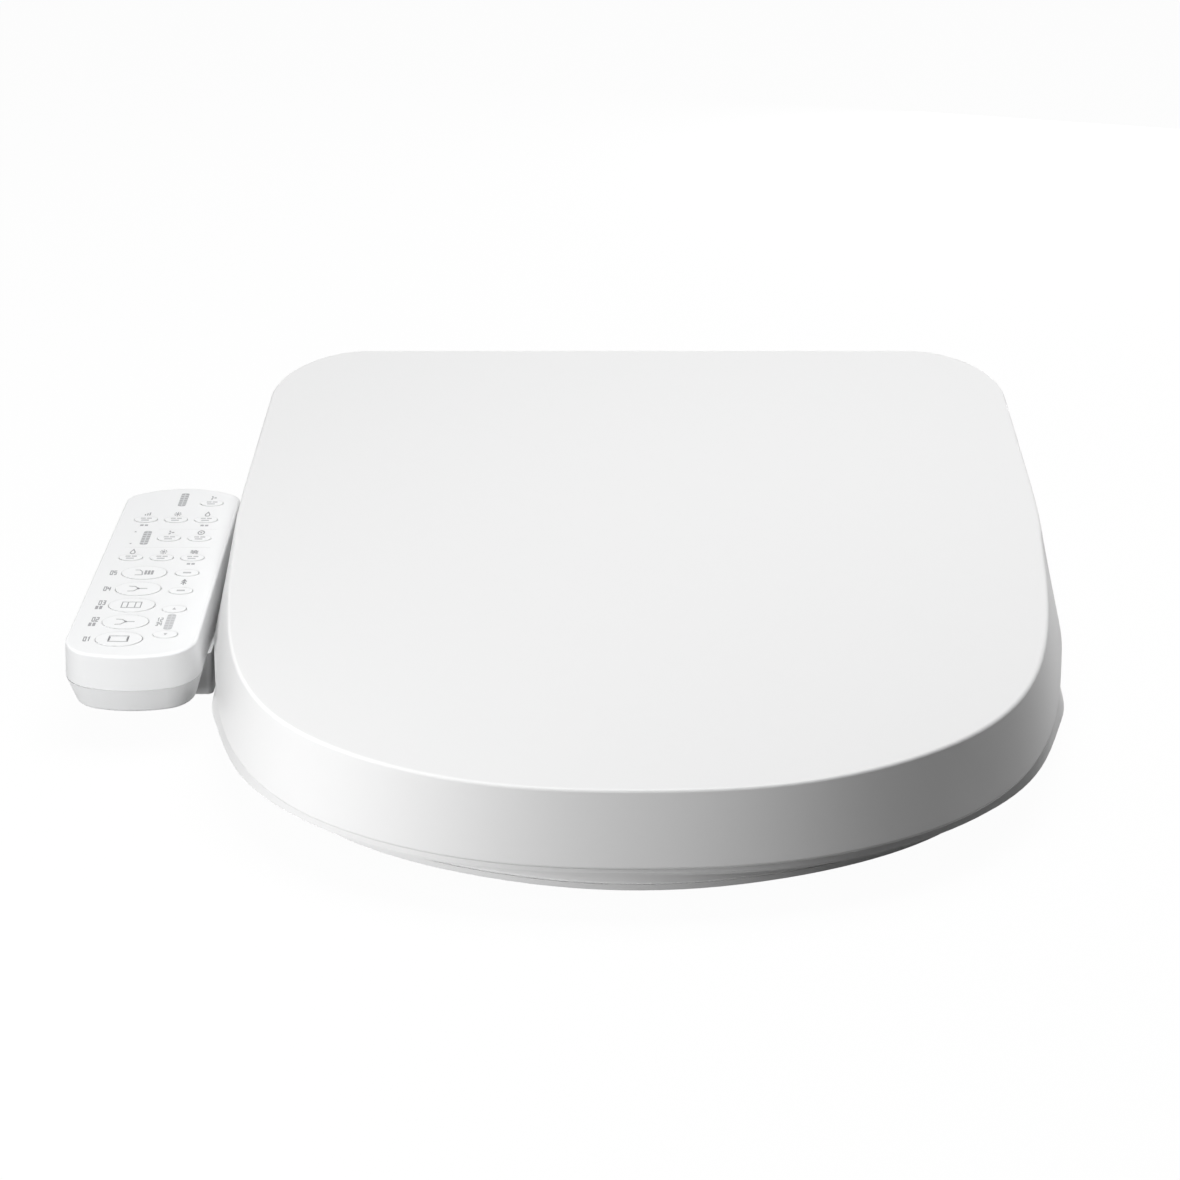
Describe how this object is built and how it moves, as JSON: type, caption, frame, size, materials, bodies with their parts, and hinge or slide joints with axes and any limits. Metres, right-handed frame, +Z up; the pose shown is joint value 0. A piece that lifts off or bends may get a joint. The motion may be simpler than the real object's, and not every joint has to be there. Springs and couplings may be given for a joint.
{
  "type": "electric bidet seat",
  "caption": "White electric bidet seat with a hinged lid and ring seat, a side control panel with press keys, sliding wash nozzles, a warm-air dryer and a slide-on mounting plate.",
  "frame": {"origin": "midway between the two bolt slots, on the rim of the bowl (underside of the mounting plate)", "axes": "+X to the right as seen from the front, +Y to the back, +Z up"},
  "size_m": [0.4757, 0.5167, 0.1012],
  "materials": {
    "white_shell": "gloss",
    "white_key": "satin",
    "pad_rubber": "matt",
    "heater_foil": "satin",
    "pin_steel": "brushed",
    "damper_body": "matt",
    "plate_plastic": "matt",
    "inlet_brass": "machined",
    "valve_body": "matt",
    "gland_rubber": "matt",
    "tank_body": "matt",
    "board_green": "satin",
    "nozzle_white": "gloss",
    "gear_plastic": "matt",
    "motor_can": "satin",
    "fan_black": "matt",
    "flap_white": "gloss",
    "light_bar": "gloss"
  },
  "bodies": {
    "mounting_plate": {"mounting_plate": "plate_plastic"},
    "main_unit": {"upper_cover": "white_shell", "lower_case": "white_shell", "left_hinge_pin": "pin_steel", "right_hinge_pin": "pin_steel", "left_damper": "damper_body", "right_damper": "damper_body", "case_screws": "pin_steel", "inlet_fitting": "inlet_brass", "inlet_valve": "valve_body", "cord_gland": "gland_rubber", "water_tank": "tank_body", "flow_pump": "valve_body", "main_board": "board_green", "nozzle_guide": "plate_plastic", "front_wash_motor": "motor_can", "rear_wash_motor": "motor_can", "fan_housing": "fan_black", "outlet_duct": "plate_plastic", "panel_arm": "white_shell", "panel_top_case": "white_shell", "panel_bottom_case": "white_shell", "key_board": "board_green", "indicator_windows": "light_bar"},
    "seat": {"seat_upper_shell": "white_shell", "seat_lower_shell": "white_shell", "seat_heater": "heater_foil", "seat_bumpers": "pad_rubber", "seat_screws": "pin_steel"},
    "lid": {"lid_shell": "white_shell", "lid_bumpers": "pad_rubber"},
    "release_button": {"release_button": "white_shell"},
    "front_wash_nozzle": {"front_wash_nozzle": "nozzle_white"},
    "rear_wash_nozzle": {"rear_wash_nozzle": "nozzle_white"},
    "front_wash_pinion": {"front_wash_pinion": "gear_plastic"},
    "rear_wash_pinion": {"rear_wash_pinion": "gear_plastic"},
    "fan_wheel": {"fan_wheel": "fan_black"},
    "outlet_flap": {"outlet_flap": "flap_white"},
    "large_key_1": {"large_key_1": "white_key"},
    "large_key_2": {"large_key_2": "white_key"},
    "large_key_3": {"large_key_3": "white_key"},
    "large_key_4": {"large_key_4": "white_key"},
    "large_key_5": {"large_key_5": "white_key"},
    "small_key_1": {"small_key_1": "white_key"},
    "small_key_2": {"small_key_2": "white_key"},
    "small_key_3": {"small_key_3": "white_key"},
    "small_key_4": {"small_key_4": "white_key"},
    "small_key_5": {"small_key_5": "white_key"},
    "small_key_6": {"small_key_6": "white_key"},
    "small_key_7": {"small_key_7": "white_key"},
    "small_key_8": {"small_key_8": "white_key"},
    "small_key_9": {"small_key_9": "white_key"},
    "small_key_10": {"small_key_10": "white_key"},
    "small_key_11": {"small_key_11": "white_key"},
    "small_key_12": {"small_key_12": "white_key"},
    "small_key_13": {"small_key_13": "white_key"}
  },
  "joints": [
    {"name": "unit_slide", "type": "slide", "parent": "mounting_plate", "child": "main_unit", "axis": [0, -1, 0], "range_m": [0, 0.06]},
    {"name": "seat_hinge", "type": "hinge", "parent": "main_unit", "child": "seat", "pos_m": [0, 0.008, 0.058], "axis": [-1, 0, 0], "range_deg": [0, 95]},
    {"name": "lid_hinge", "type": "hinge", "parent": "seat", "child": "lid", "pos_m": [0, 0.008, 0.058], "axis": [1, 0, 0], "range_deg": [-105, 0]},
    {"name": "release_press", "type": "slide", "parent": "main_unit", "child": "release_button", "axis": [-1, 0, 0], "range_m": [0, 0.003], "stiffness_N_per_m": 800},
    {"name": "rear_wash_slide", "type": "slide", "parent": "main_unit", "child": "rear_wash_nozzle", "axis": [0, -0.9063, -0.4226], "range_m": [0, 0.08]},
    {"name": "rear_wash_drive", "type": "hinge", "parent": "main_unit", "child": "rear_wash_pinion", "pos_m": [-0.011, -0.0685, 0.04113], "axis": [-1, 0, 0], "range_deg": [0, 660]},
    {"name": "front_wash_slide", "type": "slide", "parent": "main_unit", "child": "front_wash_nozzle", "axis": [0, -0.9063, -0.4226], "range_m": [0, 0.08]},
    {"name": "front_wash_drive", "type": "hinge", "parent": "main_unit", "child": "front_wash_pinion", "pos_m": [0.011, -0.0685, 0.04113], "axis": [-1, 0, 0], "range_deg": [0, 660]},
    {"name": "fan_spin", "type": "hinge", "parent": "main_unit", "child": "fan_wheel", "pos_m": [0.081, -0.008, 0.03435], "axis": [1, 0, 0], "continuous": true},
    {"name": "flap_swing", "type": "hinge", "parent": "main_unit", "child": "outlet_flap", "pos_m": [0.081, -0.0835, 0.01985], "axis": [-1, 0, 0], "range_deg": [0, 35]},
    {"name": "large_key_1_press", "type": "slide", "parent": "main_unit", "child": "large_key_1", "axis": [0.0012, 0.0871, -0.9962], "range_m": [0, 0.0006], "stiffness_N_per_m": 600},
    {"name": "large_key_2_press", "type": "slide", "parent": "main_unit", "child": "large_key_2", "axis": [0.0012, 0.0871, -0.9962], "range_m": [0, 0.0006], "stiffness_N_per_m": 600},
    {"name": "large_key_3_press", "type": "slide", "parent": "main_unit", "child": "large_key_3", "axis": [0.0012, 0.0871, -0.9962], "range_m": [0, 0.0006], "stiffness_N_per_m": 600},
    {"name": "large_key_4_press", "type": "slide", "parent": "main_unit", "child": "large_key_4", "axis": [0.0012, 0.0871, -0.9962], "range_m": [0, 0.0006], "stiffness_N_per_m": 600},
    {"name": "large_key_5_press", "type": "slide", "parent": "main_unit", "child": "large_key_5", "axis": [0.0012, 0.0871, -0.9962], "range_m": [0, 0.0006], "stiffness_N_per_m": 600},
    {"name": "small_key_1_press", "type": "slide", "parent": "main_unit", "child": "small_key_1", "axis": [0.0012, 0.0871, -0.9962], "range_m": [0, 0.0006], "stiffness_N_per_m": 600},
    {"name": "small_key_2_press", "type": "slide", "parent": "main_unit", "child": "small_key_2", "axis": [0.0012, 0.0871, -0.9962], "range_m": [0, 0.0006], "stiffness_N_per_m": 600},
    {"name": "small_key_3_press", "type": "slide", "parent": "main_unit", "child": "small_key_3", "axis": [0.0012, 0.0871, -0.9962], "range_m": [0, 0.0006], "stiffness_N_per_m": 600},
    {"name": "small_key_4_press", "type": "slide", "parent": "main_unit", "child": "small_key_4", "axis": [0.0012, 0.0871, -0.9962], "range_m": [0, 0.0006], "stiffness_N_per_m": 600},
    {"name": "small_key_5_press", "type": "slide", "parent": "main_unit", "child": "small_key_5", "axis": [0.0012, 0.0871, -0.9962], "range_m": [0, 0.0006], "stiffness_N_per_m": 600},
    {"name": "small_key_6_press", "type": "slide", "parent": "main_unit", "child": "small_key_6", "axis": [0.0012, 0.0871, -0.9962], "range_m": [0, 0.0006], "stiffness_N_per_m": 600},
    {"name": "small_key_7_press", "type": "slide", "parent": "main_unit", "child": "small_key_7", "axis": [0.0012, 0.0871, -0.9962], "range_m": [0, 0.0006], "stiffness_N_per_m": 600},
    {"name": "small_key_8_press", "type": "slide", "parent": "main_unit", "child": "small_key_8", "axis": [0.0012, 0.0871, -0.9962], "range_m": [0, 0.0006], "stiffness_N_per_m": 600},
    {"name": "small_key_9_press", "type": "slide", "parent": "main_unit", "child": "small_key_9", "axis": [0.0012, 0.0871, -0.9962], "range_m": [0, 0.0006], "stiffness_N_per_m": 600},
    {"name": "small_key_10_press", "type": "slide", "parent": "main_unit", "child": "small_key_10", "axis": [0.0012, 0.0871, -0.9962], "range_m": [0, 0.0006], "stiffness_N_per_m": 600},
    {"name": "small_key_11_press", "type": "slide", "parent": "main_unit", "child": "small_key_11", "axis": [0.0012, 0.0871, -0.9962], "range_m": [0, 0.0006], "stiffness_N_per_m": 600},
    {"name": "small_key_12_press", "type": "slide", "parent": "main_unit", "child": "small_key_12", "axis": [0.0012, 0.0871, -0.9962], "range_m": [0, 0.0006], "stiffness_N_per_m": 600},
    {"name": "small_key_13_press", "type": "slide", "parent": "main_unit", "child": "small_key_13", "axis": [0.0012, 0.0871, -0.9962], "range_m": [0, 0.0006], "stiffness_N_per_m": 600}
  ],
  "couplings": [
    {"joint": "rear_wash_drive", "follows": "rear_wash_slide", "rad_per_m": 133.33},
    {"joint": "front_wash_drive", "follows": "front_wash_slide", "rad_per_m": 133.33}
  ]
}
